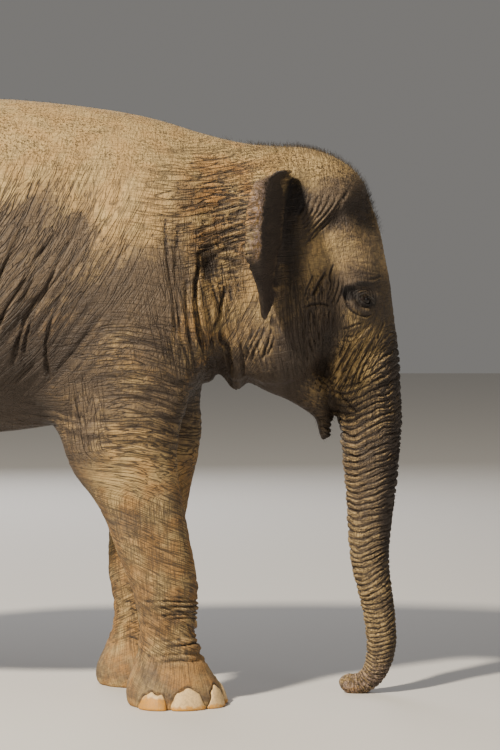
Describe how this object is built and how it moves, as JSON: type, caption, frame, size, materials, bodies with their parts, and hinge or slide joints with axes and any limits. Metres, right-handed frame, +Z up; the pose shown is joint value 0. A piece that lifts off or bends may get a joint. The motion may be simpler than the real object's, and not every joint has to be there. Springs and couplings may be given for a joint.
{
  "type": "asian elephant",
  "caption": "Asian elephant cow standing on all four feet, head level, ears out from the neck, trunk hanging to the ground with its tip curled back; a still, life-size animal.",
  "frame": {"origin": "on the ground, under the middle of the animal's length and width", "axes": "+X towards the head, +Y towards the animal's left side, +Z up"},
  "size_m": [3.2992, 1.2974, 2.2928],
  "materials": {
    "skin": "matt, deeply wrinkled hide, dusted with dry sand",
    "eye": "wet and glossy, dark brown",
    "toenail": "worn dull horn, dusty at the edges"
  },
  "bodies": {
    "root": {"ear_left": "skin", "ear_right": "skin", "eye_left": "eye", "eye_right": "eye", "forefoot_left": "skin", "forefoot_left_nail_1": "toenail", "forefoot_left_nail_2": "toenail", "forefoot_left_nail_3": "toenail", "forefoot_left_nail_4": "toenail", "forefoot_left_nail_5": "toenail", "forefoot_right": "skin", "forefoot_right_nail_1": "toenail", "forefoot_right_nail_2": "toenail", "forefoot_right_nail_3": "toenail", "forefoot_right_nail_4": "toenail", "forefoot_right_nail_5": "toenail", "foreleg_left": "skin", "foreleg_right": "skin", "head": "skin", "hindfoot_left": "skin", "hindfoot_left_nail_1": "toenail", "hindfoot_left_nail_2": "toenail", "hindfoot_left_nail_3": "toenail", "hindfoot_left_nail_4": "toenail", "hindfoot_right": "skin", "hindfoot_right_nail_1": "toenail", "hindfoot_right_nail_2": "toenail", "hindfoot_right_nail_3": "toenail", "hindfoot_right_nail_4": "toenail", "hindleg_left": "skin", "hindleg_right": "skin", "jaw": "skin", "neck": "skin", "tail": "skin", "tail_brush": "skin", "torso": "skin", "trunk_lower": "skin", "trunk_middle": "skin", "trunk_tip": "skin", "trunk_upper": "skin"}
  },
  "joints": []
}
